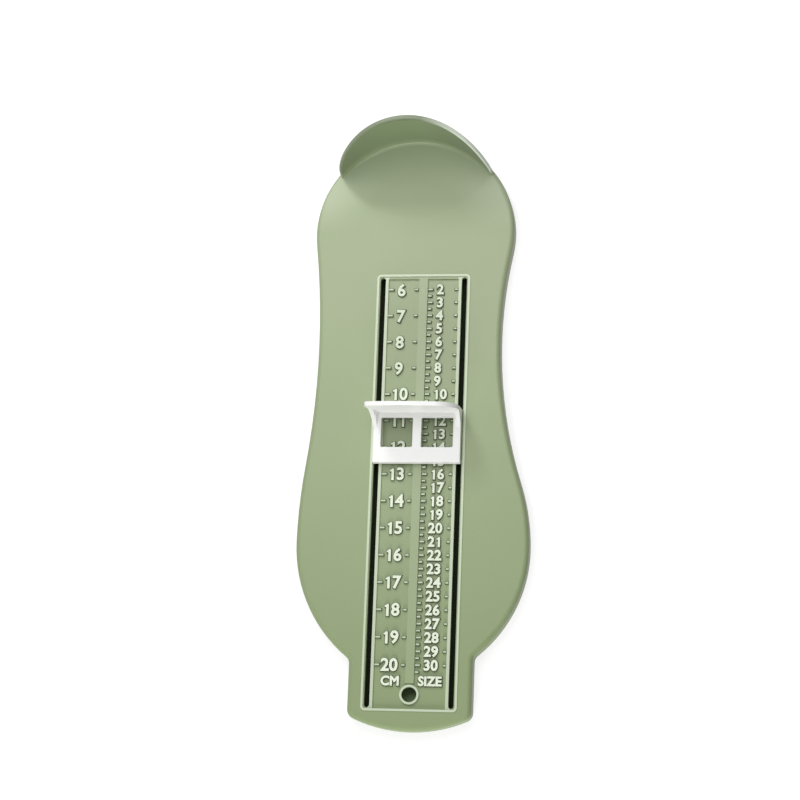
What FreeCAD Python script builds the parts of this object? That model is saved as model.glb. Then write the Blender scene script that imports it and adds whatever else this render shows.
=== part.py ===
import FreeCAD, Part
import math
import os
import re
import Sketcher

# Foot measuring device: a sole-shaped plate with a heel cup and two long slots, a toe stop that
# slides along the slots, and the keeper that holds the stop from below.
#
# Frame: +Z up, +Y towards the heel, +X across. The origin is in the middle of the plate's
# length and width, on the surface that the plate stands on. A "station" is a distance from the
# plate's heel end, measured towards the toes, and it is also what the scale reads there.

SIZES = [
    # plate outline
    ("plate_length", 223.6, "heel end to tab end"),
    ("forefoot_width", 85.9, "widest part, at the ball of the foot"),
    ("heel_radius", 37.6, "round heel end"),
    ("heel_offset", 3.1, "heel's centre, left of the plate's middle"),
    ("waist_left_radius", 314.0, "hollow of the left side"),
    ("waist_right_radius", 170.7, "hollow of the right side"),
    ("ball_left_gap", 42.9, "widest point of the left side, before the tab's root"),
    ("ball_right_gap", 39.6, "widest point of the right side, before the tab's root"),
    ("flank_left_radius", 200.0, "left side, up to its widest point"),
    ("flank_right_radius", 78.0, "right side, up to its widest point"),
    ("tab_width", 45.2, "hanging tab"),
    ("tab_left_length", 25.4, "hanging tab, out of the left lobe"),
    ("tab_right_length", 27.1, "hanging tab, out of the right lobe"),
    ("tab_end_radius", 51.7, "bowed end of the tab"),
    ("tab_corner_radius", 3.5, "corners of the tab"),
    ("tab_root_radius", 3.0, "inside corners between tab and lobes"),
    # plate section
    ("plate_height", 6.5, "floor to the plate's top"),
    ("wall", 2.0, "top skin and skirt"),
    ("edge_radius", 1.8, "rounded top edge"),
    # heel cup
    ("cup_height", 29.0, "rim above the plate's top"),
    ("cup_wall", 1.8, "thickness of the cup"),
    ("cup_lean", 2.6, "inward lean of the cup, in degrees"),
    ("cup_inset", 0.15, "cup's foot inside the plate's edge"),
    ("cup_reach", 54.5, "cup on each side of the heel's end, in degrees"),
    ("cup_run_out", 14.0, "cup carried on inside the plate past its foot, in degrees"),
    ("cup_crown_radius", 36.0, "top of the rim, seen from the front"),
    ("cup_shoulder_radius", 25.0, "shoulders of the rim"),
    ("cup_side_slope", 85.0, "rim's fall to the plate, in degrees"),
    ("cup_cove_radius", 1.5, "round between cup and floor"),
    ("rim_radius", 0.6, "rounded rim"),
    ("dish_radius", 32.0, "heel dish"),
    ("dish_depth", 0.9, "heel dish"),
    # strip with the scale
    ("strip_offset", 1.1, "strip's middle, right of the plate's middle"),
    ("slot_spacing", 30.6, "between the slots' middles"),
    ("slot_width", 2.0, "each slot"),
    ("slot_station", 55.4, "heel end of the slots"),
    ("slot_end_gap", 8.2, "toe end of the slots to the tab's end"),
    ("column_gap", 3.2, "rib between the two number columns"),
    ("column_inset", 1.1, "rib between a slot and a column"),
    ("column_depth", 0.6, "number columns"),
    ("column_station", 56.0, "heel end of the columns"),
    ("column_end_gap", 7.6, "toe end of the columns to the tab's end"),
    ("column_join_gap", 17.0, "end of the rib between the columns to the tab's end"),
    ("frame_width", 0.8, "raised frame round the slots"),
    ("frame_height", 0.3, "raised frame round the slots"),
    ("frame_gap", 0.4, "frame beside the slots"),
    ("frame_end_gap", 0.4, "frame past the slots' ends"),
    # hanging hole
    ("hole_diameter", 5.5, "hanging hole"),
    ("hole_gap", 13.0, "middle of the hanging hole to the tab's end"),
    ("ring_width", 0.8, "raised ring round the hole"),
    ("ring_height", 0.7, "raised ring, above the columns' floor"),
    # underside rails
    ("rail_width", 1.2, "rails beside the keeper"),
    ("rail_depth", 3.4, "rails, below the skin"),
    ("rail_end_gap", 1.0, "rails past the slots' ends"),
    # toe slider
    ("rest_station", 105.9, "slider's heel end where it rests"),
    ("slider_length", 20.4, "along the plate"),
    ("slider_top", 3.6, "cover above the plate's top"),
    ("slider_skin", 1.6, "thickness of the cover"),
    ("glide_gap", 0.4, "running gap above and below the plate's skin"),
    ("window_inset", 3.6, "heel edge of the slider to the windows"),
    ("window_length", 11.2, "along the plate"),
    ("window_width", 11.8, "each window"),
    ("window_bar", 3.2, "bar between the windows"),
    ("window_corner", 0.5, "corners of the windows"),
    ("stop_height", 18.0, "toe stop above the plate's top"),
    ("stop_thickness", 1.6, "toe stop"),
    ("stop_lean", 3.0, "toe stop's lean towards the toes, in degrees"),
    ("stop_left_flare", 1.5, "widening of the toe stop to the left"),
    ("stop_right_flare", 0.0, "widening of the toe stop to the right"),
    ("stop_crown_radius", 70.0, "bow of the toe stop's top edge"),
    ("stop_left_radius", 1.6, "left corner of the toe stop"),
    ("stop_right_radius", 9.0, "right corner of the toe stop"),
    ("gusset_length", 7.2, "side gusset, along the plate"),
    ("gusset_top", 0.6, "side gusset's width at its top"),
    ("gusset_radius", 13.0, "hollow edge of the side gusset"),
    ("leg_gap", 0.2, "leg to the slot's sides"),
    ("leg_length", 19.0, "each leg, along the plate, from the slider's heel end"),
    ("prong_length", 5.0, "each snap hook, along the plate"),
    ("prong_thickness", 1.1, "each snap hook"),
    ("barb", 0.6, "overhang of a snap hook"),
    ("barb_height", 1.2, "snap hook below the keeper"),
    # keeper
    ("keeper_width", 35.2, "across the plate"),
    ("keeper_overlap", 0.3, "keeper beyond the legs, along the plate"),
    ("keeper_thickness", 1.5, "keeper"),
    ("keeper_corner", 2.0, "corners of the keeper"),
    ("keeper_fit", 0.1, "keeper's holes round the hooks"),
    ("rail_gap", 0.4, "keeper to the rails"),
]
NAMES = {name for name, number, note in SIZES}

model = FreeCAD.newDocument("foot_gauge")
sheet = model.addObject("Spreadsheet::Sheet", "Sizes")
for row, (name, number, note) in enumerate(SIZES, start=1):
    sheet.set(f"A{row}", note)
    sheet.set(f"B{row}", str(number))
    sheet.setAlias(f"B{row}", name)
model.recompute()


def sized(formula):
    """Write a formula of size names as an expression on the sheet."""
    return re.sub(r"[a-z]\w+", lambda word: linked(word.group()), formula)


def linked(word):
    """Point a size's name at its cell, and leave every other word as it is."""
    return f"Sizes.{word}" if word in NAMES else word


def number(formula):
    """Work out a formula of size names."""
    return float(sheet.evalExpression(sized(formula)))


def bind(item, path, formula):
    """Tie a property to a formula of size names."""
    item.setExpression(path, sized(formula))


def towards(start, end, distance):
    """The point at a distance from start, on the line to end."""
    share = distance / math.dist(start, end)
    return tuple(a + share * (b - a) for a, b in zip(start, end))


def crossing(centre, radius, other, other_radius, pick):
    """Of the two points where two circles cross, the one that pick rates higher."""
    gap = math.dist(centre, other)
    run = (radius ** 2 - other_radius ** 2 + gap ** 2) / (2 * gap)
    rise = math.sqrt(radius ** 2 - run ** 2)
    foot = towards(centre, other, run)
    across = ((centre[1] - other[1]) / gap, (other[0] - centre[0]) / gap)
    points = [(foot[0] + way * across[0], foot[1] + way * across[1]) for way in (-rise, rise)]
    return max(points, key=pick)


def body_named(name):
    """Start a sub-part."""
    body = model.addObject("PartDesign::Body", name)
    body.Label = name
    return body


def origin_item(body, role):
    """One of the body's own origin planes or axes."""
    return next(item for item in body.Origin.OriginFeatures if item.Role == role)


class Drawing:
    """A sketch on one of its body's origin planes, with every point tied to the sizes."""

    def __init__(self, body, name, plane, shift=("0", "0", "0")):
        self.sketch = body.newObject("Sketcher::SketchObject", name)
        self.sketch.AttachmentSupport = [(origin_item(body, plane), "")]
        self.sketch.MapMode = "FlatFace"
        for axis, formula in zip("xyz", shift):
            bind(self.sketch, f"AttachmentOffset.Base.{axis}", formula)
        self.ties = 0

    def turn(self, axis, formula):
        """Turn the sketch's plane about one of its own axes, by degrees."""
        self.sketch.AttachmentOffset = FreeCAD.Placement(
            self.sketch.AttachmentOffset.Base, FreeCAD.Rotation(axis, 1))
        bind(self.sketch, "AttachmentOffset.Rotation.Angle", formula)

    def tie(self, kind, *places, formula):
        """Add a dimension that follows a formula."""
        index = self.sketch.addConstraint(Sketcher.Constraint(kind, *places, number(formula)))
        self.ties += 1
        self.sketch.renameConstraint(index, f"size_{self.ties}")
        self.sketch.setExpression(f"Constraints.size_{self.ties}", sized(formula))

    def pin(self, shape, end, across, along):
        """Hold a point at a place counted from the sketch's origin."""
        self.tie("DistanceX", -1, 1, shape, end, formula=across)
        self.tie("DistanceY", -1, 1, shape, end, formula=along)

    def line(self, start, end):
        """Draw a straight stretch; the answer is its number and its two ends."""
        segment = Part.LineSegment(FreeCAD.Vector(*start, 0), FreeCAD.Vector(*end, 0))
        return self.sketch.addGeometry(segment, False), 1, 2

    def arc(self, centre, start, end, way=1):
        """Draw a round stretch, anticlockwise for way 1 and clockwise for way -1."""
        ends = (start, end) if way > 0 else (end, start)
        first, last = (math.atan2(y - centre[1], x - centre[0]) for x, y in ends)
        if last <= first:
            last += 2 * math.pi
        circle = Part.Circle(
            FreeCAD.Vector(*centre, 0), FreeCAD.Vector(0, 0, 1), math.dist(centre, start))
        shape = self.sketch.addGeometry(Part.ArcOfCircle(circle, first, last), False)
        return (shape, 1, 2) if way > 0 else (shape, 2, 1)

    def close(self, stretches, smooth):
        """Join each stretch to the next, tangent where smooth says so."""
        following = stretches[1:] + stretches[:1]
        for (shape, start, end), (after, after_start, after_end), soft in zip(
                stretches, following, smooth):
            kind = "Tangent" if soft else "Coincident"
            self.sketch.addConstraint(Sketcher.Constraint(kind, shape, end, after, after_start))

    def polygon(self, corners, bows=()):
        """Draw straight sides between corners; bows gives some sides a radius and a way."""
        bows = dict(bows)
        places = [(number(across), number(along)) for across, along in corners]
        stretches = []
        for index, (start, end) in enumerate(zip(places, places[1:] + places[:1])):
            if index in bows:
                radius, way = bows[index]
                centre = crossing(
                    start, number(radius), end, number(radius),
                    lambda place: way * ((end[0] - start[0]) * (place[1] - start[1])
                                         - (end[1] - start[1]) * (place[0] - start[0])))
                stretches.append(self.arc(centre, start, end, way))
            else:
                stretches.append(self.line(start, end))
        self.close(stretches, [False] * len(stretches))
        for (shape, start, end), (across, along) in zip(stretches, corners):
            self.pin(shape, start, across, along)
        for index, (radius, way) in bows.items():
            self.tie("Radius", stretches[index][0], formula=radius)
        return stretches

    def rectangle(self, left, bottom, right, top):
        """Draw a rectangle between four formulas."""
        self.polygon([(left, bottom), (right, bottom), (right, top), (left, top)])

    def rounded(self, left, bottom, right, top, radius):
        """Draw a rectangle with round corners."""
        corners = [(right, bottom, 1, -1), (right, top, 1, 1), (left, top, -1, 1),
                   (left, bottom, -1, -1)]
        stretches = []
        size = number(radius)
        centres = [(number(x) - side * size, number(y) - rise * size)
                   for x, y, side, rise in corners]
        for index, (x, y) in enumerate(centres):
            quarter = index * math.pi / 2
            begin = (x + size * math.sin(quarter), y - size * math.cos(quarter))
            finish = (x + size * math.cos(quarter), y + size * math.sin(quarter))
            if stretches:
                stretches.append(self.line(last, begin))
            stretches.append(self.arc((x, y), begin, finish))
            last = finish
            if index == 0:
                opening = begin
        stretches.append(self.line(last, opening))
        self.close(stretches, [True] * len(stretches))
        for (shape, start, end), (x, y, side, rise) in zip(stretches[::2], corners):
            self.tie("Radius", shape, formula=radius)
            self.pin(shape, 3, f"{x} - ({side}) * {radius}", f"{y} - ({rise}) * {radius}")

    def slot(self, middle, bottom, top, width):
        """Draw a slot with round ends, running along the sketch's second axis."""
        x, low, high, half = (number(formula) for formula in
                              (middle, f"{bottom} + {width} / 2", f"{top} - {width} / 2",
                               f"{width} / 2"))
        stretches = [
            self.line((x + half, low), (x + half, high)),
            self.arc((x, high), (x + half, high), (x - half, high)),
            self.line((x - half, high), (x - half, low)),
            self.arc((x, low), (x - half, low), (x + half, low)),
        ]
        self.close(stretches, [True] * 4)
        for (shape, start, end), along in zip(
                stretches[1::2], (f"{top} - {width} / 2", f"{bottom} + {width} / 2")):
            self.pin(shape, 3, middle, along)
            self.tie("Radius", shape, formula=f"{width} / 2")

    def circle(self, across, along, radius):
        """Draw a circle."""
        centre = FreeCAD.Vector(number(across), number(along), 0)
        ring = Part.Circle(centre, FreeCAD.Vector(0, 0, 1), number(radius))
        shape = self.sketch.addGeometry(ring, False)
        self.tie("Radius", shape, formula=radius)
        self.pin(shape, 3, across, along)


def pad(body, drawing, length, up=True):
    """Add material on a sketch."""
    feature = body.newObject("PartDesign::Pad", drawing.sketch.Name + "_pad")
    feature.Profile = drawing.sketch
    bind(feature, "Length", length)
    feature.Reversed = not up
    return checked(feature, 1)


def pocket(body, drawing, depth, down=True):
    """Take material away under a sketch."""
    feature = body.newObject("PartDesign::Pocket", drawing.sketch.Name + "_pocket")
    feature.Profile = drawing.sketch
    bind(feature, "Length", depth)
    feature.Reversed = not down
    return checked(feature, -1)


def checked(feature, change):
    """Build a feature, and stop if it left the body's volume as it was or changed it wrongly."""
    base = feature.BaseFeature
    before = base.Shape.Volume if base else 0.0
    model.recompute()
    if change * (feature.Shape.Volume - before) <= 0:
        raise RuntimeError(f"{feature.Name} points the wrong way")
    return feature


def edge_names(shape, wanted):
    """Names of the edges that pass a test."""
    return [f"Edge{index}" for index, edge in enumerate(shape.Edges, start=1) if wanted(edge)]


def soften(body, name, base, edges, radius, kind="Fillet"):
    """Round or bevel some edges of the last feature."""
    feature = body.newObject(f"PartDesign::{kind}", name)
    feature.Base = (base, edges)
    bind(feature, "Radius" if kind == "Fillet" else "Size", radius)
    model.recompute()
    return feature


# --- foot plate ---------------------------------------------------------------------------

HEEL_END = "plate_length / 2"
TAB_END = "-plate_length / 2"
HEEL = ("-heel_offset", f"{HEEL_END} - heel_radius")
STRIP_EDGE = "(slot_spacing + slot_width) / 2"
TAB_ROOTS = {-1: ("strip_offset - tab_width / 2", f"{TAB_END} + tab_left_length"),
             1: ("strip_offset + tab_width / 2", f"{TAB_END} + tab_right_length")}
SLOT_END = "(plate_length - slot_end_gap)"
HOLE_ALONG = f"({TAB_END} + hole_gap)"
CUP_INSIDE = "(heel_radius - cup_inset - cup_wall)"
CUP_FOOT = f"{CUP_INSIDE} * sin(cup_reach)"


def station(formula):
    """The place along the plate that lies at a distance from its heel end."""
    return f"({HEEL_END} - ({formula}))"


def side_shapes(side, way):
    """Centres and joints of one side's curves, and the formulas that place them."""
    root_at = TAB_ROOTS[way]
    ball_along = f"{root_at[1]} + ball_{side}_gap"
    lobe = f"(forefoot_width / 2 - ({way}) * strip_offset - tab_width / 2)"
    lobe_radius = f"({lobe} ^ 2 + ball_{side}_gap ^ 2) / (2 * {lobe})"
    flank_at = (f"({way}) * (forefoot_width / 2 - flank_{side}_radius)", ball_along)
    toe_at = (f"({way}) * (forefoot_width / 2 - {lobe_radius})", ball_along)
    end_at = ("strip_offset", f"{TAB_END} + tab_end_radius")
    heel, flank, toe, root, end = (
        tuple(number(formula) for formula in place)
        for place in (HEEL, flank_at, toe_at, root_at, end_at))
    heel_radius, waist_radius, flank_radius, end_radius, corner_radius = (
        number(name) for name in ("heel_radius", f"waist_{side}_radius", f"flank_{side}_radius",
                                  "tab_end_radius", "tab_corner_radius"))
    waist = crossing(heel, heel_radius + waist_radius, flank, flank_radius + waist_radius,
                     lambda place: way * place[0])
    corner_across = root[0] - way * corner_radius
    corner = (corner_across, end[1] - math.sqrt(
        (end_radius - corner_radius) ** 2 - (corner_across - end[0]) ** 2))
    return {
        "heel": heel, "waist": waist, "flank": flank, "toe": toe, "corner": corner, "end": end,
        "flank_at": flank_at, "root_at": root_at, "end_at": end_at, "root": root,
        "lobe_radius": lobe_radius,
        "heel_joint": towards(heel, waist, heel_radius),
        "waist_joint": towards(flank, waist, flank_radius),
        "flank_joint": (number(f"({way}) * forefoot_width / 2"), flank[1]),
        "tab_joint": (root[0], corner[1]),
        "corner_joint": towards(end, corner, end_radius),
    }


def draw_outline(body):
    """Sole outline: heel, hollow waists, lobes at the ball of the foot, and the hanging tab."""
    drawing = Drawing(body, "outline", "XY_Plane")
    left, right = side_shapes("left", -1), side_shapes("right", 1)
    loop = [
        drawing.arc(left["heel"], right["heel_joint"], left["heel_joint"]),
        drawing.arc(left["waist"], left["heel_joint"], left["waist_joint"], -1),
        drawing.arc(left["flank"], left["waist_joint"], left["flank_joint"]),
        drawing.arc(left["toe"], left["flank_joint"], left["root"]),
        drawing.line(left["root"], left["tab_joint"]),
        drawing.arc(left["corner"], left["tab_joint"], left["corner_joint"]),
        drawing.arc(left["end"], left["corner_joint"], right["corner_joint"]),
        drawing.arc(right["corner"], right["corner_joint"], right["tab_joint"]),
        drawing.line(right["tab_joint"], right["root"]),
        drawing.arc(right["toe"], right["root"], right["flank_joint"]),
        drawing.arc(right["flank"], right["flank_joint"], right["waist_joint"]),
        drawing.arc(right["waist"], right["waist_joint"], right["heel_joint"], -1),
    ]
    sharp = (3, 8)
    drawing.close(loop, [index not in sharp for index in range(len(loop))])
    heel, left_waist, left_flank, left_toe, left_tab, left_corner, end = (
        shape for shape, first, last in loop[:7])
    right_corner, right_tab, right_toe, right_flank, right_waist = (
        shape for shape, first, last in loop[7:])
    radii = [
        (heel, "heel_radius"), (end, "tab_end_radius"),
        (left_waist, "waist_left_radius"), (right_waist, "waist_right_radius"),
        (left_flank, "flank_left_radius"), (right_flank, "flank_right_radius"),
        (left_toe, left["lobe_radius"]), (right_toe, right["lobe_radius"]),
        (left_corner, "tab_corner_radius"), (right_corner, "tab_corner_radius"),
    ]
    for shape, radius in radii:
        drawing.tie("Radius", shape, formula=radius)
    drawing.pin(heel, 3, *HEEL)
    drawing.pin(end, 3, *left["end_at"])
    drawing.pin(left_flank, 3, *left["flank_at"])
    drawing.pin(right_flank, 3, *right["flank_at"])
    drawing.pin(left_tab, 1, *left["root_at"])
    drawing.pin(right_tab, 2, *right["root_at"])
    for shape in (left_tab, right_tab):
        drawing.sketch.addConstraint(Sketcher.Constraint("Vertical", shape))
    return drawing


def make_tray(body):
    """Hollow sole, open below, with a rounded top edge."""
    slab = pad(body, draw_outline(body), "plate_height")
    height = number("plate_height")
    roots = [(number(across), number(along)) for across, along in TAB_ROOTS.values()]

    def at_tab_root(edge):
        place = edge.CenterOfMass
        return (abs(place.z - height / 2) < 0.01
                and min(math.dist((place.x, place.y), root) for root in roots) < 0.01)

    rooted = soften(body, "tab_roots", slab, edge_names(slab.Shape, at_tab_root),
                    "tab_root_radius")
    underside = [f"Face{index}" for index, face in enumerate(rooted.Shape.Faces, start=1)
                 if abs(face.CenterOfMass.z) < 0.01]
    hollow = body.newObject("PartDesign::Thickness", "hollow")
    hollow.Base = (rooted, underside)
    hollow.Reversed = True
    hollow.Join = "Intersection"
    bind(hollow, "Value", "wall")
    model.recompute()
    rim = edge_names(hollow.Shape, lambda edge: edge.BoundBox.ZMin > height - 0.01)
    return soften(body, "top_edge", hollow, rim, "edge_radius")


def cut_heel_dish(body):
    """Shallow round hollow that centres the heel."""
    drawing = Drawing(body, "dish", "YZ_Plane", (HEEL_END, "0", "-heel_offset"))
    ball = "(dish_radius ^ 2 + dish_depth ^ 2) / (2 * dish_depth)"
    drawing.polygon(
        [("0", "plate_height - dish_depth"), ("dish_radius", "plate_height"),
         ("dish_radius", "plate_height + wall"), ("0", "plate_height + wall")],
        {0: (ball, 1)})
    groove = body.newObject("PartDesign::Groove", "dish_groove")
    groove.Profile = drawing.sketch
    groove.ReferenceAxis = (drawing.sketch, ["V_Axis"])
    return checked(groove, -1)


def make_heel_cup():
    """Thin wall round the back of the heel, its rim an arch that falls to the plate's edge."""
    body = body_named("heel_cup")
    wall = Drawing(body, "cup_wall", "YZ_Plane", (HEEL[1], "0", HEEL[0]))
    outside = "heel_radius - cup_inset"
    foot = "plate_height - (wall + dish_depth) / 2"
    rim = "plate_height + cup_height"
    rise = "cup_cove_radius * (1 + sin(cup_lean))"
    top_lean = f"({rim} - ({foot})) * tan(cup_lean)"
    wall.polygon(
        [(f"{CUP_INSIDE} - {rise} * tan(cup_lean) - cup_cove_radius * cos(cup_lean)", foot),
         (outside, foot), (f"{outside} - {top_lean}", rim), (f"{CUP_INSIDE} - {top_lean}", rim),
         (f"{CUP_INSIDE} - {rise} * tan(cup_lean)", f"{foot} + {rise}")],
        {4: ("cup_cove_radius", -1)})
    ring = body.newObject("PartDesign::Revolution", "cup_ring")
    ring.Profile = wall.sketch
    ring.ReferenceAxis = (wall.sketch, ["V_Axis"])
    ring.Midplane = True
    bind(ring, "Angle", "2 * (cup_reach + cup_run_out)")
    checked(ring, 1)
    arched = pocket(body, draw_rim_arch(body), "plate_length")
    floor, thickness = number("plate_height"), number("cup_wall")
    rim_edges = edge_names(arched.Shape, lambda edge: (
        edge.CenterOfMass.z > floor + thickness and edge.Length > 2 * thickness))
    soften(body, "rim", arched, rim_edges, "rim_radius")
    return body


def join(body, name, other):
    """Make another body part of this one."""
    union = body.newObject("PartDesign::Boolean", name)
    union.Type = "Fuse"
    union.addObject(other)
    body.Tip = union
    return checked(union, 1)


def draw_rim_arch(body):
    """All that the rim leaves bare: the space over an arch, as seen from the toes."""
    drawing = Drawing(body, "rim_arch", "XZ_Plane", (HEEL[0], "0", f"-({HEEL[1]})"))
    top, floor = number("plate_height + cup_height"), number("plate_height")
    foot, crown = number(CUP_FOOT), number("cup_crown_radius")
    shoulder, slope = number("cup_shoulder_radius"), math.radians(number("cup_side_slope"))
    low = number("plate_height - edge_radius")
    low_foot = foot + (floor - low) / math.tan(slope)
    crown_centre = (0.0, top - crown)
    outward = (math.sin(slope), math.cos(slope))
    reach = foot * outward[0] + (floor - crown_centre[1]) * outward[1] - shoulder
    spread = math.sqrt((crown - shoulder) ** 2 - reach ** 2)
    shoulder_centre = (reach * outward[0] - spread * outward[1],
                       crown_centre[1] + reach * outward[1] + spread * outward[0])
    fall = tuple(centre + shoulder * part for centre, part in zip(shoulder_centre, outward))
    crest = towards(crown_centre, shoulder_centre, crown)
    over, beyond = top + shoulder, low_foot + shoulder

    def mirrored(place):
        return (-place[0], place[1])

    loop = [
        drawing.line((low_foot, low), fall),
        drawing.arc(shoulder_centre, fall, crest),
        drawing.arc(crown_centre, crest, mirrored(crest)),
        drawing.arc(mirrored(shoulder_centre), mirrored(crest), mirrored(fall)),
        drawing.line(mirrored(fall), (-low_foot, low)),
        drawing.line((-low_foot, low), (-beyond, low)),
        drawing.line((-beyond, low), (-beyond, over)),
        drawing.line((-beyond, over), (beyond, over)),
        drawing.line((beyond, over), (beyond, low)),
        drawing.line((beyond, low), (low_foot, low)),
    ]
    drawing.close(loop, [index < 4 for index in range(len(loop))])
    right_side, right_shoulder, crown_arc, left_shoulder, left_side = (
        shape for shape, first, last in loop[:5])
    drawing.tie("Radius", right_shoulder, formula="cup_shoulder_radius")
    drawing.tie("Radius", left_shoulder, formula="cup_shoulder_radius")
    drawing.tie("Radius", crown_arc, formula="cup_crown_radius")
    drawing.pin(crown_arc, 3, "0", "plate_height + cup_height - cup_crown_radius")
    low_edge = "plate_height - edge_radius"
    low_reach = f"{CUP_FOOT} + edge_radius / tan(cup_side_slope)"
    drawing.pin(right_side, 1, low_reach, low_edge)
    drawing.pin(left_side, 2, f"-({low_reach})", low_edge)
    drawing.tie("Angle", -1, right_side, formula="180 - cup_side_slope")
    drawing.tie("Angle", -1, left_side, formula="180 + cup_side_slope")
    high_edge = "plate_height + cup_height + cup_shoulder_radius"
    wing_reach = f"{low_reach} + cup_shoulder_radius"
    left_wing, right_wing = loop[6][0], loop[8][0]
    drawing.pin(left_wing, 1, f"-({wing_reach})", low_edge)
    drawing.pin(left_wing, 2, f"-({wing_reach})", high_edge)
    drawing.pin(right_wing, 1, wing_reach, high_edge)
    drawing.pin(right_wing, 2, wing_reach, low_edge)
    return drawing


def cut_scale_columns(body):
    """Two sunk number columns that meet round the hanging hole."""
    drawing = Drawing(body, "columns", "XY_Plane", ("strip_offset", "0", "plate_height"))
    outer = "((slot_spacing - slot_width) / 2 - column_inset)"
    inner = "column_gap / 2"
    heel_side, toe_side, join = (station("column_station"), f"({TAB_END} + column_end_gap)",
                                 f"({TAB_END} + column_join_gap)")
    drawing.polygon([
        (f"-{outer}", toe_side), (outer, toe_side), (outer, heel_side), (inner, heel_side),
        (inner, join), (f"-{inner}", join), (f"-{inner}", heel_side), (f"-{outer}", heel_side)])
    return pocket(body, drawing, "column_depth")


def add_slot_frame(body):
    """Thin raised line round both slots."""
    drawing = Drawing(body, "slot_frame", "XY_Plane", ("strip_offset", "0", "plate_height"))
    for grow in ("0", "frame_width"):
        half = f"({STRIP_EDGE} + frame_gap + {grow})"
        heel_side = station(f"slot_station - frame_end_gap - {grow}")
        toe_side = station(f"{SLOT_END} + frame_end_gap + {grow}")
        drawing.rounded(f"-{half}", toe_side, half, heel_side, f"(frame_width + {grow})")
    return pad(body, drawing, "frame_height")


def cut_slots(body):
    """The two long slots that the toe slider's legs run in."""
    drawing = Drawing(body, "slots", "XY_Plane", ("strip_offset", "0", "plate_height"))
    for way in (-1, 1):
        drawing.slot(f"({way}) * slot_spacing / 2", station(SLOT_END), station("slot_station"),
                     "slot_width")
    return pocket(body, drawing, "plate_height")


def add_hanging_hole(body):
    """Round hole with a raised ring."""
    floor = "plate_height - column_depth"
    ring = Drawing(body, "hole_ring", "XY_Plane", ("strip_offset", "0", floor))
    ring.circle("0", HOLE_ALONG, "hole_diameter / 2 + ring_width")
    pad(body, ring, "ring_height")
    mark = Drawing(body, "hole_mark", "XY_Plane", ("strip_offset", "0", f"{floor} + ring_height"))
    mark.circle("0", HOLE_ALONG, "hole_diameter / 2")
    model.recompute()
    hole = body.newObject("PartDesign::Hole", "hanging_hole")
    hole.Profile = mark.sketch
    hole.DepthType = "ThroughAll"
    bind(hole, "Diameter", "hole_diameter")
    return checked(hole, -1)


def add_keeper_rails(body):
    """Ribs under the skin that stiffen the slots and fence the keeper's way."""
    drawing = Drawing(body, "rails", "XY_Plane",
                      ("strip_offset", "0", "plate_height - wall - rail_depth"))
    for grow in ("0", "rail_width"):
        half = f"(keeper_width / 2 + rail_gap + {grow})"
        heel_side = station(f"slot_station - rail_end_gap - {grow}")
        toe_side = station(f"{SLOT_END} + rail_end_gap + {grow}")
        drawing.rectangle(f"-{half}", toe_side, half, heel_side)
    return pad(body, drawing, "rail_depth")


def make_foot_plate():
    """One moulding: tray, heel cup, slots and scale columns."""
    body = body_named("foot_plate")
    make_tray(body)
    cut_heel_dish(body)
    join(body, "cup_joined", make_heel_cup())
    add_slot_frame(body)
    cut_scale_columns(body)
    cut_slots(body)
    add_hanging_hole(body)
    add_keeper_rails(body)
    return body


# --- toe slider and its keeper ------------------------------------------------------------
# Both are drawn from one corner: the strip's middle, the slider's heel end and the plate's top.

LEG = "(slot_width - 2 * leg_gap)"
SLIDER_HALF = "((slot_spacing + slot_width) / 2 - leg_gap)"
LEG_FOOT = "-(wall + glide_gap)"
KEEPER_FOOT = f"({LEG_FOOT} - keeper_thickness)"
PRONG_OUT = f"({SLIDER_HALF} - ({LEG} - prong_thickness) / 2)"
PRONG_IN = f"({PRONG_OUT} - prong_thickness)"


def place_on_strip(body):
    """Set a sub-part where the slider rests."""
    bind(body, "Placement.Base.x", "strip_offset")
    bind(body, "Placement.Base.y", station("rest_station"))
    bind(body, "Placement.Base.z", "plate_height")


def make_cover(body):
    """Shallow cap over the strip, with two reading windows."""
    cover = Drawing(body, "cover", "XY_Plane", ("0", "0", "glide_gap"))
    cover.rectangle(f"-{SLIDER_HALF}", "-slider_length", SLIDER_HALF, "-stop_thickness / 2")
    block = pad(body, cover, "slider_top - glide_gap")
    cavity = Drawing(body, "cover_inside", "XY_Plane", ("0", "0", "glide_gap"))
    inside = f"({SLIDER_HALF} - {LEG})"
    cavity.rectangle(f"-{inside}", f"-(slider_length - {LEG})", inside, "-stop_thickness")
    pocket(body, cavity, "slider_top - slider_skin - glide_gap", down=False)
    windows = Drawing(body, "windows", "XY_Plane", ("0", "0", "slider_top"))
    for near, far in (("window_bar / 2", "(window_bar / 2 + window_width)"),
                      ("-(window_bar / 2 + window_width)", "-window_bar / 2")):
        windows.rounded(near, "-(window_inset + window_length)", far, "-window_inset",
                        "window_corner")
    return pocket(body, windows, "slider_top")


def add_toe_stop(body):
    """Upright wall that meets the toes, leaning and widening upwards, with side gussets."""
    wall = Drawing(body, "stop", "XZ_Plane")
    wall.turn(FreeCAD.Vector(1, 0, 0), "stop_lean")
    left_end, right_end = f"-({SLIDER_HALF} + stop_left_flare)", f"({SLIDER_HALF} + stop_right_flare)"
    wall.polygon([
        (f"-{SLIDER_HALF}", "glide_gap"), (SLIDER_HALF, "glide_gap"),
        (right_end, "stop_height - stop_right_radius"),
        (f"{right_end} - stop_right_radius", "stop_height"),
        (f"{left_end} + stop_left_radius", "stop_height"),
        (left_end, "stop_height - stop_left_radius")],
        {2: ("stop_right_radius", 1), 3: ("stop_crown_radius", 1), 4: ("stop_left_radius", 1)})
    return pad(body, wall, "stop_thickness")


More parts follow.
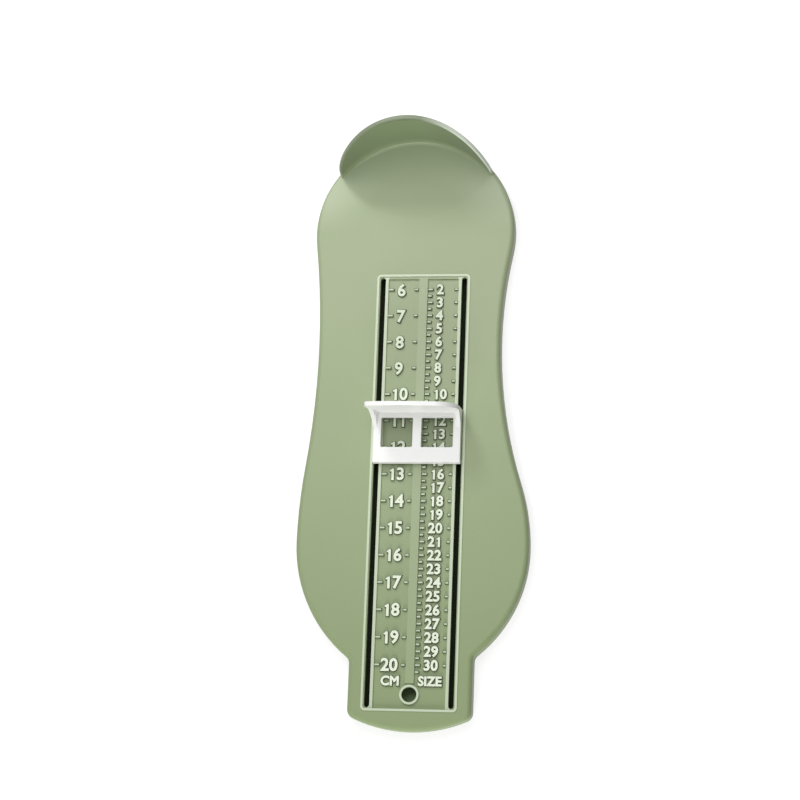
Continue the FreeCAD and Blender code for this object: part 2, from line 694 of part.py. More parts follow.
def add_gussets(body):
    """Hollow-edged cheeks between the cover and the stop's ends, up to its round corners."""
    for side, way in (("left", -1), ("right", 1)):
        top = f"(stop_height - stop_{side}_radius)"
        cheek = Drawing(body, f"{side}_gusset", "YZ_Plane", ("0", "0", f"({way}) * {SLIDER_HALF}"))
        cheek.turn(FreeCAD.Vector(1, 0, 0), f"({way}) * atan(stop_{side}_flare / stop_height)")
        cheek.polygon([
            ("-stop_thickness / 2", "slider_top - slider_skin"),
            ("-gusset_length", "slider_top - slider_skin"), ("-gusset_length", "slider_top"),
            ("-(stop_thickness + gusset_top)", top), ("-stop_thickness", top)],
            {2: ("gusset_radius", 1)})
        pad(body, cheek, LEG, up=way < 0)


def each_side(near, far):
    """The two ranges across the strip that mirror each other, lower end first."""
    return [(f"-{far}", f"-{near}"), (near, far)]


def add_legs(body):
    """Two legs down through the slots."""
    legs = Drawing(body, "legs", "XY_Plane", ("0", "0", LEG_FOOT))
    for left, right in each_side(f"({SLIDER_HALF} - {LEG})", SLIDER_HALF):
        legs.rectangle(left, "-leg_length", right, "0")
    return pad(body, legs, "wall + glide_gap * 2 + slider_skin / 2")


def add_snap_hooks(body):
    """Two hooks on each leg, with barbs that catch under the keeper."""
    drop = "(keeper_thickness + barb_height)"
    hooks = Drawing(body, "hooks", "XY_Plane", ("0", "0", f"{LEG_FOOT} - {drop}"))
    for left, right in each_side(PRONG_IN, PRONG_OUT):
        hooks.rectangle(left, "-prong_length", right, "0")
    first = pad(body, hooks, f"{drop} + wall / 2")
    barbs = Drawing(body, "barbs", "XZ_Plane")
    for way in (-1, 1):
        inside, edge = f"({way}) * {PRONG_IN}", f"({way}) * ({PRONG_OUT} + barb)"
        barbs.polygon([(inside, KEEPER_FOOT), (inside, f"{KEEPER_FOOT} - barb_height"),
                       (f"({way}) * {PRONG_OUT}", f"{KEEPER_FOOT} - barb_height"),
                       (edge, KEEPER_FOOT)])
    second = pad(body, barbs, "prong_length")
    row = body.newObject("PartDesign::LinearPattern", "hook_row")
    row.Originals = [first, second]
    row.Direction = (origin_item(body, "Y_Axis"), [""])
    row.Reversed = True
    bind(row, "Length", "leg_length - prong_length")
    row.Occurrences = 2
    body.Tip = row
    return checked(row, 1)


def make_toe_slider():
    """One moulding: cover, toe stop, gussets, legs and snap hooks."""
    body = body_named("toe_slider")
    place_on_strip(body)
    make_cover(body)
    add_toe_stop(body)
    add_gussets(body)
    add_legs(body)
    add_snap_hooks(body)
    return body


def make_keeper():
    """Thin plate that the hooks snap through, gliding under the skin."""
    body = body_named("slider_keeper")
    place_on_strip(body)
    sheet_shape = Drawing(body, "keeper_plate", "XY_Plane", ("0", "0", KEEPER_FOOT))
    sheet_shape.rounded("-keeper_width / 2", "-(leg_length + keeper_overlap)",
                        "keeper_width / 2", "keeper_overlap", "keeper_corner")
    pad(body, sheet_shape, "keeper_thickness")
    holes = Drawing(body, "hook_holes", "XY_Plane", ("0", "0", f"{KEEPER_FOOT} + keeper_thickness"))
    near, far = f"({PRONG_IN} - barb - keeper_fit)", f"({PRONG_OUT} + keeper_fit)"
    for left, right in each_side(near, far):
        for heel_end in ("0", "-(leg_length - prong_length)"):
            holes.rectangle(left, f"{heel_end} - prong_length - keeper_fit", right,
                            f"{heel_end} + keeper_fit")
    pocket(body, holes, "keeper_thickness")
    return body


parts = [make_foot_plate(), make_toe_slider(), make_keeper()]
model.recompute()
for item in model.Objects:
    if "Invalid" in item.State or "Error" in item.State:
        raise RuntimeError(f"{item.Name} is {item.State}")
os.makedirs("parts", exist_ok=True)
for body in parts:
    if body.Shape.isNull() or not body.Shape.isValid() or len(body.Shape.Solids) != 1:
        raise RuntimeError(f"{body.Label} is not one sound solid")
for body in parts:
    body.Shape.exportStep(f"parts/{body.Label}.step")
    box = body.Shape.optimalBoundingBox(True, False)
    print(body.Label, round(body.Shape.Volume, 1), "mm3", box)
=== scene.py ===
import math

import bmesh
import bpy
from bpy.props import FloatProperty, FloatVectorProperty, IntProperty, PointerProperty
from mathutils import Matrix, Vector


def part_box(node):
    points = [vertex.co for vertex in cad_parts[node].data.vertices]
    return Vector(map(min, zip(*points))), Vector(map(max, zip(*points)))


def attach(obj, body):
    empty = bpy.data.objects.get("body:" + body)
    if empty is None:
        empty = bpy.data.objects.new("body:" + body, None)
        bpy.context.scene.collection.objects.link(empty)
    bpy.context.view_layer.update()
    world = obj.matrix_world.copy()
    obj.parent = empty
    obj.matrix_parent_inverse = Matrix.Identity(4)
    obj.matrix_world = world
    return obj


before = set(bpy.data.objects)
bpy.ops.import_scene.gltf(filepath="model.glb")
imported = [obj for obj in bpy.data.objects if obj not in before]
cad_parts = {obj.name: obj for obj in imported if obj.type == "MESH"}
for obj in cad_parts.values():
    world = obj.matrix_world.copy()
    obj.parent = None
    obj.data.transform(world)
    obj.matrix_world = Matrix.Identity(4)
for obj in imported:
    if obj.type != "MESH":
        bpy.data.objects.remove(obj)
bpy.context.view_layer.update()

bl_info = {
    "name": "Foot Measuring Device",
    "version": (1, 0, 0),
    "blender": (4, 5, 0),
    "location": "View3D > Sidebar > Foot Gauge",
    "description": "Dresses the foot measuring device: plastics, raised scale, studio",
    "category": "Object",
}

PLATE_LOW, PLATE_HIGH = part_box("foot_plate")
KEEPER_LOW, KEEPER_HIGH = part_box("slider_keeper")

# All lengths are in metres. The heel: its middle across the plate, and the circle it follows.
HEEL_END = PLATE_HIGH.y
HEEL_MIDDLE = -0.0031
HEEL_RADIUS = 0.0376
HEEL_CENTRE = HEEL_END - HEEL_RADIUS

# The cup: a blend runs from its first value to its second, and a share says how strong it gets.
# The rim follows an arch on each side, whose centre is so far from the heel's middle and so high.
# A tilt is the upward part of the surface's normal, 0 on an upright wall and 1 on a flat floor.
# Painted shade: over this span of heights the cup's walls darken, for the shade inside the cup.
CUP_BLEND = (0.0080, 0.0110)
ARCH_PLACE = (0.00363, 0.00988)
ARCH_RADIUS = 0.025
RIM_BLEND = (ARCH_RADIUS - 0.0006, ARCH_RADIUS - 0.0004)
# Painted highlight: the rim turns pale towards its right side over this span, where light catches
# it.
RIM_HIGHLIGHT_BLEND = (0.002, 0.016)
# Painted shade: the cup's sides darken towards the rim's colour across these spans, by their
# shares.
RIGHT_WING_BLEND, RIGHT_WING_SHARE = (HEEL_MIDDLE + 0.005, HEEL_MIDDLE + 0.020), 0.8
LEFT_WING_BLEND, LEFT_WING_SHARE = (HEEL_MIDDLE - 0.012, HEEL_MIDDLE - 0.028), 0.5
# Painted light: the dish's floor turns paler towards the cup's wall, lifting the shade there.
DISH_BLEND, DISH_SHARE = (0.020, 0.0345), 0.30
DISH_START_BLEND = (HEEL_CENTRE, HEEL_CENTRE + 0.012)
DISH_TILT_BLEND = (0.5, 0.9)
# Painted highlight: a pale line runs along the cove where the cup's wall meets the floor,
# stronger on the left.
COVE_RADIUS, COVE_REACH = 0.0352, 0.0007
COVE_TOP = 0.0085
COVE_TILT_BLEND = (0.05, 0.25)
COVE_START_BLEND = (HEEL_CENTRE + 0.022, HEEL_CENTRE + 0.031)
COVE_SIDE_BLEND, COVE_SHARES = (0.0, 0.014), (0.42, 0.10)

# The strip: places across it are from its middle, and readings are from the heel's end.
STRIP_MIDDLE = (KEEPER_LOW.x + KEEPER_HIGH.x) / 2
STRIP_START = 0.050
STRIP_CENTRE, STRIP_REACH = 0.1355, 0.0802
# Painted highlight: the ribs beside the slots, and more weakly the rib between the columns, turn
# paler on their tops.
SIDE_RIB_PLACE, SIDE_RIB_REACH = 0.0140, 0.0010
MIDDLE_RIB_REACH, MIDDLE_RIB_SHARE = 0.0017, 0.15
SUNK_BLEND = (0.0060, 0.0064)
# Painted highlight: the frame and the hole's ring, raised above these heights, turn paler.
PROUD_BLEND = (0.00652, 0.0066)
# Painted shade: between these readings the plate's green darkens towards the toe end, for light
# that falls off away from the heel.
TOE_PAINTED_SHADE_READINGS = (0.05, 0.20)

# Shape of the numbers: a capital as a share of the font's size, then shares of a number's height,
# and the width and inset of the 1's flag as shares of its stem's width.
CAPITAL_SHARE = 0.617
DIGIT_PITCH = 0.66
STROKE_SHARE = 0.20
ONE_STEM = 0.05
FLAG_REACH, FLAG_FALL = 0.27, 0.26
FLAG_WIDTH, FLAG_INSET = 0.75, 0.40
FLAG_DROP = 0.00002

# Edges of raised shapes: a bevel as a share of the boldness, a tolerance as a share of relief,
# steps of a letter's curves and of its round edge, and the width of a seam that is closed.
BAR_BEVEL = 0.6
EDGE_TOLERANCE = 0.1
LETTER_STEPS, LETTER_EDGE_STEPS = 3, 2
SEAM = 0.0000001

# Cream of the numbers: how far down it reaches, and where and how far it is rubbed thin.
PAINT_DEPTH = 0.00005
WEAR_READINGS, WEAR_SHARE = (0.20, 0.06), 0.52
PATCH_BLEND, PATCH_SHARE = (0.45, 0.75), 0.25

# Columns: where numbers of one and two digits and the ends of marks are across the strip, and how
# far from its reading a number or a mark is towards the toe end. Sizes count half centimetres
# from 5 cm.
LENGTH_PLACES = {1: (-0.0082, 0.0005), 2: (-0.0076, 0.0002)}
LENGTH_MARKS = ((-0.0132, -0.0110), (-0.0034, -0.0017))
SIZE_PLACES = {1: (0.0064, 0.0002), 2: (0.0075, 0.0002)}
SIZE_MARKS = ((0.0017, 0.0038, 0.0), (0.0017, 0.0034, 0.0025), (0.0117, 0.0132, 0.0))
CM_PER_METRE = 100
SIZES_PER_CM, SIZE_SHIFT = 2, 10
WORDS = (("CM", -0.0071), ("SIZE", 0.0074))
WORDS_READING = 0.2059

# Plastic: each noise's name, width and detail, and how far the gloss strays with the mottle.
FINISH_NOISES = (("Grain", 0.0005, 3.0), ("Mottle", 0.02, 5.0))
NOISE_ROUGHNESS = 0.55
ROUGHNESS_SPREAD = (-0.04, 0.06)

# Studio: each lamp's name, size, place and whether gloss mirrors it, then the floor and the card.
LAMPS = (
    ("top", 0.30, (-0.03, 0.12, 0.34), True),
    ("heel", 0.10, (-0.19, 0.37, 0.30), True),
    ("toe", 0.35, (-0.05, -0.60, 0.14), False),
)
LAMP_AIM = Vector((0.0, 0.0, 0.006))
WHITE = (1.0, 1.0, 1.0, 1.0)
CHALK_ROUGHNESS = 0.9
FLOOR_REACH = 4.0
FAR_BLEND = (0.3, 1.2)
# Painted shade: a dark card lies under the strip, seen through the slots and the hole.
CARD_WIDTH, CARD_LIFT = 0.040, 0.0001
CARD_TOE_GAP, CARD_HEEL_GAP = 0.004, 0.053
HOLE_REACH = 0.006

# Camera: its sensor's width in millimetres, and how near and how far it sees.
SENSOR_WIDTH = 36.0
CLIP_RANGE = (0.01, 20.0)


# --- sizes and colours ----------------------------------------------------------------------


def length(name, description, default):
    """A length in metres."""
    return FloatProperty(name=name, description=description, default=default, unit="LENGTH",
                         precision=5)


def share(name, description, default):
    """A number from 0 to 1."""
    return FloatProperty(name=name, description=description, default=default, min=0.0, max=1.0,
                         subtype="FACTOR")


def colour(name, description, default):
    """A linear colour."""
    return FloatVectorProperty(name=name, description=description, default=default, size=3,
                               min=0.0, max=1.0, subtype="COLOR")


class FootGaugePlateFinish(bpy.types.PropertyGroup):
    """Plastic of the foot plate."""
    shade: colour("Plate", "Sage green of the plate", (0.336, 0.399, 0.235))
    deep_shade: colour("Plate, deeper", "Sage green where the pigment is denser",
                       (0.313, 0.376, 0.216))
    # Painted shade: the darker green at the toe end stands in for light that falls off there.
    toe_shade: colour("Plate, toe end", "Sage green by the hanging tab", (0.280, 0.355, 0.176))
    # Painted shade: the cup's darker green stands in for the shade on its walls.
    cup_shade: colour("Cup", "Sage green of the heel cup", (0.246, 0.316, 0.173))
    # Painted shade: the rim's darker green, also laid on the cup's sides, stands in for shade.
    rim_shade: colour("Rim", "Sage green of the cup's rim", (0.190, 0.225, 0.140))
    # Painted highlight: the rim's pale right side stands in for light catching it.
    rubbed_shade: colour("Rim, painted highlight", "Rim's rubbed right side", (0.72, 0.78, 0.66))
    # Painted highlight: the ribs beside the slots are paler where light catches them.
    rib_shade: colour("Ribs", "Sage green of the ribs beside the slots", (0.58, 0.66, 0.48))
    # Painted highlight: the raised frame and ring are paler for light catching their tops.
    ridge_shade: colour("Raised lines", "Rubbed sage green of the raised frame and ring",
                        (0.62, 0.70, 0.52))
    roughness: share("Roughness", "Satin of the plate", 0.42)
    grain_size: length("Grain size", "Width of the mould's fine grain", 0.0005)
    grain_depth: length("Grain depth", "Relief of the mould's fine grain", 0.000012)
    mottle_size: length("Mottle size", "Width of the soft patches in the sage green", 0.03)


class FootGaugeSliderFinish(bpy.types.PropertyGroup):
    """Plastic of the toe slider and its keeper."""
    shade: colour("Slider", "White of the slider", (0.95, 0.95, 0.93))
    deep_shade: colour("Slider, deeper", "White where the wall is thin", (0.92, 0.925, 0.905))
    roughness: share("Roughness", "Gloss of the slider", 0.30)
    grain_size: length("Grain size", "Width of the slider's flow marks", 0.0012)
    grain_depth: length("Grain depth", "Relief of the slider's flow marks", 0.000006)
    mottle_size: length("Mottle size", "Width of the soft patches in the white", 0.008)


class FootGaugeScale(bpy.types.PropertyGroup):
    """Raised numbers and marks on the strip."""
    floor: length("Column floor", "Height of the sunk columns' floor", 0.0059)
    relief: length("Relief", "Height of the numbers over the column's floor", 0.0008)
    length_height: length("Length numbers", "Height of the centimetre numbers", 0.00475)
    size_height: length("Size numbers", "Height of the size numbers", 0.00405)
    word_height: length("Words", "Height of the words under the columns", 0.0037)
    boldness: length("Boldness", "Round edge that widens each stroke on both sides", 0.00042)
    stroke: length("Mark width", "Width of a mark along the plate", 0.0010)
    first_length: IntProperty(name="First number", description="First centimetre number",
                              default=6)
    last_length: IntProperty(name="Last number", description="Last centimetre number",
                             default=20)
    shade: colour("Numbers", "Cream of the raised numbers", (0.89, 0.96, 0.785))
    worn_shade: colour("Numbers, worn", "Numbers where the cream is rubbed thin",
                       (0.60, 0.67, 0.49))
    mark_shade: colour("Marks", "Thin cream of the marks", (0.56, 0.63, 0.45))
    # Partly the sides' own green, partly painted shadow: far darker than the plate, for the
    # shadow round each raised shape.
    flank_shade: colour("Numbers, flanks", "Deep green of the numbers' sides",
                        (0.085, 0.115, 0.055))
    roughness: share("Roughness", "Gloss of the numbers", 0.38)
    grain_size: length("Grain size", "Width of the paint's fine grain", 0.0004)
    grain_depth: length("Grain depth", "Relief of the paint's fine grain", 0.000008)
    mottle_size: length("Mottle size", "Width of the rubbed patches", 0.004)


class FootGaugeStudio(bpy.types.PropertyGroup):
    """Floor, lamps and camera."""
    floor_shade: colour("Floor", "Pale floor", (0.40, 0.40, 0.40))
    # Painted shade: the dark card and its green under the hole stand in for the shade inside the
    # hollow plate.
    card_shade: colour("Card", "Dark card under the slots", (0.02, 0.03, 0.015))
    hole_shade: colour("Card, hole", "Green of the card under the hole", (0.32, 0.45, 0.24))
    floor_glow: share("Floor glow", "How much of the floor's white is its own", 0.74)
    far_glow: share("Far glow", "How much of the white is its own far from the object", 0.93)
    daylight: share("Daylight", "Strength of the even light from all round", 0.235)
    top_power: FloatProperty(name="Top lamp", description="Power of the soft lamp overhead",
                             default=0.67, min=0.0, unit="POWER")
    heel_power: FloatProperty(name="Heel lamp", description="Power of the lamp behind the heel",
                              default=0.79, min=0.0, unit="POWER")
    toe_power: FloatProperty(name="Toe lamp", description="Power of the low lamp at the toe end",
                             default=2.60, min=0.0, unit="POWER")
    eye: FloatVectorProperty(name="Camera place", description="Where the camera stands",
                             default=(0.13723, -0.18628, 0.85832), subtype="TRANSLATION")
    turn: FloatVectorProperty(
        name="Camera turn", description="Which way the camera looks",
        default=tuple(math.radians(angle) for angle in (13.1232, 9.0686, 2.1501)),
        subtype="EULER")
    lens: FloatProperty(name="Lens", description="Focal length in millimetres", default=108.0,
                        min=1.0)


# --- meshes ---------------------------------------------------------------------------------


def new_object(name, shape, material):
    """Make an object from a bmesh, its seams closed, with its material."""
    bmesh.ops.remove_doubles(shape, verts=shape.verts, dist=SEAM)
    mesh = bpy.data.meshes.new(name)
    shape.to_mesh(mesh)
    shape.free()
    mesh.materials.append(material)
    made = bpy.data.objects.new(name, mesh)
    bpy.context.scene.collection.objects.link(made)
    return made


def new_piece(name, shape, body, material):
    """Make a piece from a bmesh, on a body and material."""
    piece = new_object(name, shape, material)
    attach(piece, body)


def reading(distance):
    """The place along the plate where the scale reads a distance."""
    return HEEL_END - distance


def add_bar(shape, start, end, width, style, lift=0.0):
    """Add a raised bar between two places on the plate, with its upper edges bevelled."""
    run = Vector(end) - Vector(start)
    middle = (Vector(start) + Vector(end)) / 2
    relief = style.relief + lift
    place = (Matrix.Translation((*middle, style.floor + relief / 2))
             @ Matrix.Rotation(math.atan2(run.y, run.x), 4, "Z"))
    size = Matrix.Diagonal((run.length, width, relief, 1.0))
    made = bmesh.ops.create_cube(shape, size=1.0, matrix=place @ size)
    top = style.floor + relief
    edges = {edge for vertex in made["verts"] for edge in vertex.link_edges
             if all(abs(corner.co.z - top) < EDGE_TOLERANCE * relief for corner in edge.verts)}
    bmesh.ops.bevel(shape, geom=list(edges), offset=BAR_BEVEL * style.boldness,
                    offset_type="OFFSET", segments=1, profile=0.5, affect="EDGES", material=-1)


def add_letters(shape, letters, height, across, along, style):
    """Add raised letters with round edges, upright towards the heel."""
    curve = bpy.data.curves.new("lettering", "FONT")
    curve.body = letters
    curve.size = (height - 2 * style.boldness) / CAPITAL_SHARE
    curve.align_x, curve.align_y = "CENTER", "CENTER"
    curve.resolution_u = LETTER_STEPS
    curve.bevel_depth = style.boldness
    curve.bevel_resolution = LETTER_EDGE_STEPS
    curve.extrude = (style.relief - style.boldness) / 2
    holder = bpy.data.objects.new("lettering", curve)
    bpy.context.scene.collection.objects.link(holder)
    graph = bpy.context.evaluated_depsgraph_get()
    mesh = bpy.data.meshes.new_from_object(holder.evaluated_get(graph))
    mesh.transform(Matrix.Translation((across, along, style.floor + curve.extrude)))
    shape.from_mesh(mesh)
    bpy.data.objects.remove(holder)
    bpy.data.curves.remove(curve)
    bpy.data.meshes.remove(mesh)


def add_number(shape, value, height, across, along, style):
    """Add a raised number, evenly spaced, each 1 a bar with a flag."""
    digits = str(value)
    pitch = DIGIT_PITCH * height
    bar = STROKE_SHARE * height + style.boldness
    for index, digit in enumerate(digits):
        middle = across + (index - (len(digits) - 1) / 2) * pitch
        if digit == "1":
            stem = middle + ONE_STEM * height
            top, foot = along + height / 2, along - height / 2
            add_bar(shape, (stem, foot), (stem, top), bar, style)
            add_bar(shape, (stem - FLAG_REACH * height, top - FLAG_FALL * height),
                    (stem, top - FLAG_INSET * bar), FLAG_WIDTH * bar, style, -FLAG_DROP)
        else:
            add_letters(shape, digit, height, middle, along, style)


# --- materials ------------------------------------------------------------------------------


def add(tree, kind, **sockets):
    """Add a node and set its input sockets by name."""
    node = tree.nodes.new(kind)
    for name, value in sockets.items():
        node.inputs[name.replace("_", " ")].default_value = value
    return node


def reckon(tree, operation, first, second, clamp=False):
    """Add a math node on two sockets or numbers, and give its output."""
    node = tree.nodes.new("ShaderNodeMath")
    node.operation = operation
    node.use_clamp = clamp
    for socket, value in zip(node.inputs, (first, second)):
        if isinstance(value, bpy.types.NodeSocket):
            tree.links.new(value, socket)
        else:
            socket.default_value = value
    return node.outputs[0]


def blend(tree, value, span, least=0.0, most=1.0):
    """Go from the least to the most while a socket goes over a span, and give the output."""
    node = add(tree, "ShaderNodeMapRange", From_Min=span[0], From_Max=span[1], To_Min=least,
               To_Max=most)
    tree.links.new(value, node.inputs["Value"])
    return node.outputs["Result"]


def times(tree, *masks):
    """Multiply masks and shares, and give the output."""
    product = masks[0]
    for mask in masks[1:]:
        product = reckon(tree, "MULTIPLY", product, mask)
    return product


def diagonal(tree, first, second):
    """Give the straight distance of two distances at right angles."""
    squares = [reckon(tree, "POWER", side, 2.0) for side in (first, second)]
    return reckon(tree, "POWER", reckon(tree, "ADD", *squares), 0.5)


def tint(tree, base, shade, mask):
    """Lay a colour over a colour by a mask, and give the output."""
    mix = tree.nodes.new("ShaderNodeMix")
    mix.data_type = "RGBA"
    for name, value in (("A", base), ("B", shade)):
        socket = next(one for one in mix.inputs if one.name == name and one.type == "RGBA")
        if isinstance(value, bpy.types.NodeSocket):
            tree.links.new(value, socket)
        else:
            socket.default_value = (*value, 1.0)
    tree.links.new(mask, mix.inputs[0])
    return next(one for one in mix.outputs if one.type == "RGBA")


def split(tree, vector):
    """Give the three parts of a vector as sockets."""
    parts = tree.nodes.new("ShaderNodeSeparateXYZ")
    tree.links.new(vector, parts.inputs["Vector"])
    return parts.outputs


def object_axes(tree):
    """Give the place on the object as three sockets."""
    return split(tree, tree.nodes.new("ShaderNodeTexCoord").outputs["Object"])


def moulded_finish():
    """Node group: the mottle and the grain of moulded plastic."""
    if "Moulded Finish" in bpy.data.node_groups:
        return bpy.data.node_groups["Moulded Finish"]
    group = bpy.data.node_groups.new("Moulded Finish", "ShaderNodeTree")
    for name, size, detail in FINISH_NOISES:
        socket = group.interface.new_socket(f"{name} Size", in_out="INPUT",
                                            socket_type="NodeSocketFloat")
        socket.default_value = size
        group.interface.new_socket(name, in_out="OUTPUT", socket_type="NodeSocketFloat")
    link = group.links.new
    source = group.nodes.new("NodeGroupInput")
    result = group.nodes.new("NodeGroupOutput")
    place = group.nodes.new("ShaderNodeTexCoord")
    for name, size, detail in FINISH_NOISES:
        noise = add(group, "ShaderNodeTexNoise", Detail=detail, Roughness=NOISE_ROUGHNESS)
        link(place.outputs["Object"], noise.inputs["Vector"])
        link(reckon(group, "DIVIDE", 1.0, source.outputs[f"{name} Size"]), noise.inputs["Scale"])
        link(noise.outputs["Fac"], result.inputs[name])
    return group


def new_material(name):
    """Make a material, and give it with its node tree and its surface's sockets."""
    material = bpy.data.materials.new(name)
    material.use_nodes = True
    tree = material.node_tree
    return material, tree, tree.nodes["Principled BSDF"].inputs


def plastic(name, shade, deep_shade, style):
    """Moulded plastic: two close shades by mottle, and a fine grain."""
    material, tree, surface = new_material(name)
    finish = tree.nodes.new("ShaderNodeGroup")
    finish.node_tree = moulded_finish()
    finish.inputs["Grain Size"].default_value = style.grain_size
    finish.inputs["Mottle Size"].default_value = style.mottle_size
    mottle = finish.outputs["Mottle"]
    tree.links.new(tint(tree, shade, deep_shade, mottle), surface["Base Color"])
    low, high = (style.roughness + spread for spread in ROUGHNESS_SPREAD)
    tree.links.new(blend(tree, mottle, (0.0, 1.0), low, high), surface["Roughness"])
    relief = add(tree, "ShaderNodeBump", Strength=1.0, Distance=style.grain_depth)
    tree.links.new(finish.outputs["Grain"], relief.inputs["Height"])
    tree.links.new(relief.outputs["Normal"], surface["Normal"])
    return material, tree, surface, mottle


def gap(tree, value, middle):
    """Give how far a socket is from a value."""
    return reckon(tree, "ABSOLUTE", reckon(tree, "SUBTRACT", value, middle), 0.0)


def near(tree, value, middle, reach):
    """Give 1 where a socket is closer to a value than a reach, and 0 elsewhere."""
    return reckon(tree, "LESS_THAN", gap(tree, value, middle), reach)


def tint_cup(tree, shade, axes, style):
    """Lay painted shade on the cup and its rim, painted light on its dish, and painted highlights
    on its cove and the rim's right side over a colour.
    """
    across, along, up = axes
    upward = split(tree, tree.nodes.new("ShaderNodeNewGeometry").outputs["Normal"])["Z"]
    sideways = gap(tree, across, HEEL_MIDDLE)
    radius = diagonal(tree, sideways, reckon(tree, "SUBTRACT", along, HEEL_CENTRE))
    cup = blend(tree, up, CUP_BLEND)
    # Painted shade on the cup's sides.
    wings = reckon(tree, "ADD", blend(tree, across, RIGHT_WING_BLEND, 0.0, RIGHT_WING_SHARE),
                   blend(tree, across, LEFT_WING_BLEND, 0.0, LEFT_WING_SHARE))
    shade = tint(tree, shade, tint(tree, style.cup_shade, style.rim_shade, wings), cup)
    # Painted light on the dish's floor near the wall.
    dish = times(tree, blend(tree, radius, DISH_BLEND, 0.0, DISH_SHARE),
                 blend(tree, along, DISH_START_BLEND), blend(tree, upward, DISH_TILT_BLEND))
    shade = tint(tree, shade, style.ridge_shade, dish)
    # Painted highlight along the cove.
    cove = times(tree, near(tree, radius, COVE_RADIUS, COVE_REACH),
                 reckon(tree, "LESS_THAN", up, COVE_TOP), blend(tree, upward, COVE_TILT_BLEND),
                 blend(tree, across, COVE_SIDE_BLEND, *COVE_SHARES),
                 blend(tree, along, COVE_START_BLEND))
    shade = tint(tree, shade, style.ridge_shade, cove)
    # Painted shade on the rim's top, turning to a painted highlight on its right side.
    arch = diagonal(tree, reckon(tree, "SUBTRACT", sideways, ARCH_PLACE[0]),
                    reckon(tree, "SUBTRACT", up, ARCH_PLACE[1]))
    rim_shade = tint(tree, style.rim_shade, style.rubbed_shade, blend(tree, across, RIM_HIGHLIGHT_BLEND))
    return tint(tree, shade, rim_shade, times(tree, cup, blend(tree, arch, RIM_BLEND)))


def tint_strip(tree, shade, axes, style):
    """Lay painted highlights over a colour on the strip's ribs and raised lines."""
    across, along, up = axes
    sideways = gap(tree, across, STRIP_MIDDLE)
    # Painted highlight on the ribs.
    ribs = reckon(tree, "ADD", near(tree, sideways, SIDE_RIB_PLACE, SIDE_RIB_REACH),
                  times(tree, near(tree, sideways, 0.0, MIDDLE_RIB_REACH), MIDDLE_RIB_SHARE))
    ribs = times(tree, ribs, near(tree, along, reading(STRIP_CENTRE), STRIP_REACH),
                 blend(tree, up, SUNK_BLEND))
    shade = tint(tree, shade, style.rib_shade, ribs)
    # Painted highlight on the raised frame and ring.
    proud = times(tree, blend(tree, up, PROUD_BLEND),
                  reckon(tree, "LESS_THAN", along, reading(STRIP_START)))
    return tint(tree, shade, style.ridge_shade, proud)


def sage_plastic(style):
    """Sage plastic: painted shade at the toe end and on the cup, painted highlights on the
    strip's raised lines.
    """
    material, tree, surface, _ = plastic("Sage Plastic", style.shade, style.deep_shade, style)
    axes = object_axes(tree)
    # Painted shade: the green darkens towards the toe end.
    toewards = blend(tree, axes["Y"], [reading(far) for far in TOE_PAINTED_SHADE_READINGS])
    mottled = surface["Base Color"].links[0].from_socket
    shade = tint_cup(tree, tint(tree, mottled, style.toe_shade, toewards), axes, style)
    tree.links.new(tint_strip(tree, shade, axes, style), surface["Base Color"])
    return material


def relief_paint(name, shade, style):
    """Cream on the tops of raised shapes, rubbed thinner towards the heel, and dark green sides,
    partly painted shadow.
    """
    if name in bpy.data.materials:
        return bpy.data.materials[name]
    material, tree, surface, mottle = plastic(name, shade, shade, style)
    axes = object_axes(tree)
    heelwards = blend(tree, axes["Y"], [reading(far) for far in WEAR_READINGS], 0.0, WEAR_SHARE)
    patches = blend(tree, mottle, PATCH_BLEND, 0.0, PATCH_SHARE)
    worn = tint(tree, shade, style.worn_shade, reckon(tree, "ADD", heelwards, patches, True))
    # Painted shadow: the sides below the cream are dark green.
    flank = reckon(tree, "LESS_THAN", axes["Z"], style.floor + style.relief - PAINT_DEPTH)
    tree.links.new(tint(tree, worn, style.flank_shade, flank), surface["Base Color"])
    return material


def paint_node(name, material):
    """Give a CAD node its material."""
    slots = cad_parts[name].material_slots
    if not slots:
        raise RuntimeError(f"{name} has no material slot")
    for slot in slots:
        slot.material = material


def glow_for_camera(tree):
    """1 for what the camera sees directly, in gloss and through glass, and 0 for other light."""
    path = tree.nodes.new("ShaderNodeLightPath")
    seen = path.outputs["Is Camera Ray"]
    for name in ("Is Glossy Ray", "Is Transmission Ray"):
        seen = reckon(tree, "MAXIMUM", seen, path.outputs[name])
    return seen


# --- pieces ---------------------------------------------------------------------------------


class FOOTGAUGE_OT_plate_finish(bpy.types.Operator):
    """Give the foot plate its satin sage plastic"""
    bl_idname = "foot_gauge.plate_finish"
    bl_label = "Foot plate finish"

    def execute(self, context):
        paint_node("foot_plate", sage_plastic(context.scene.foot_gauge_plate))
        return {"FINISHED"}


class FOOTGAUGE_OT_slider_finish(bpy.types.Operator):
    """Give the toe slider and its keeper their white plastic"""
    bl_idname = "foot_gauge.slider_finish"
    bl_label = "Toe slider finish"

    def execute(self, context):
        style = context.scene.foot_gauge_slider
        white = plastic("White Plastic", style.shade, style.deep_shade, style)[0]
        for name in ("toe_slider", "slider_keeper"):
            paint_node(name, white)
        return {"FINISHED"}


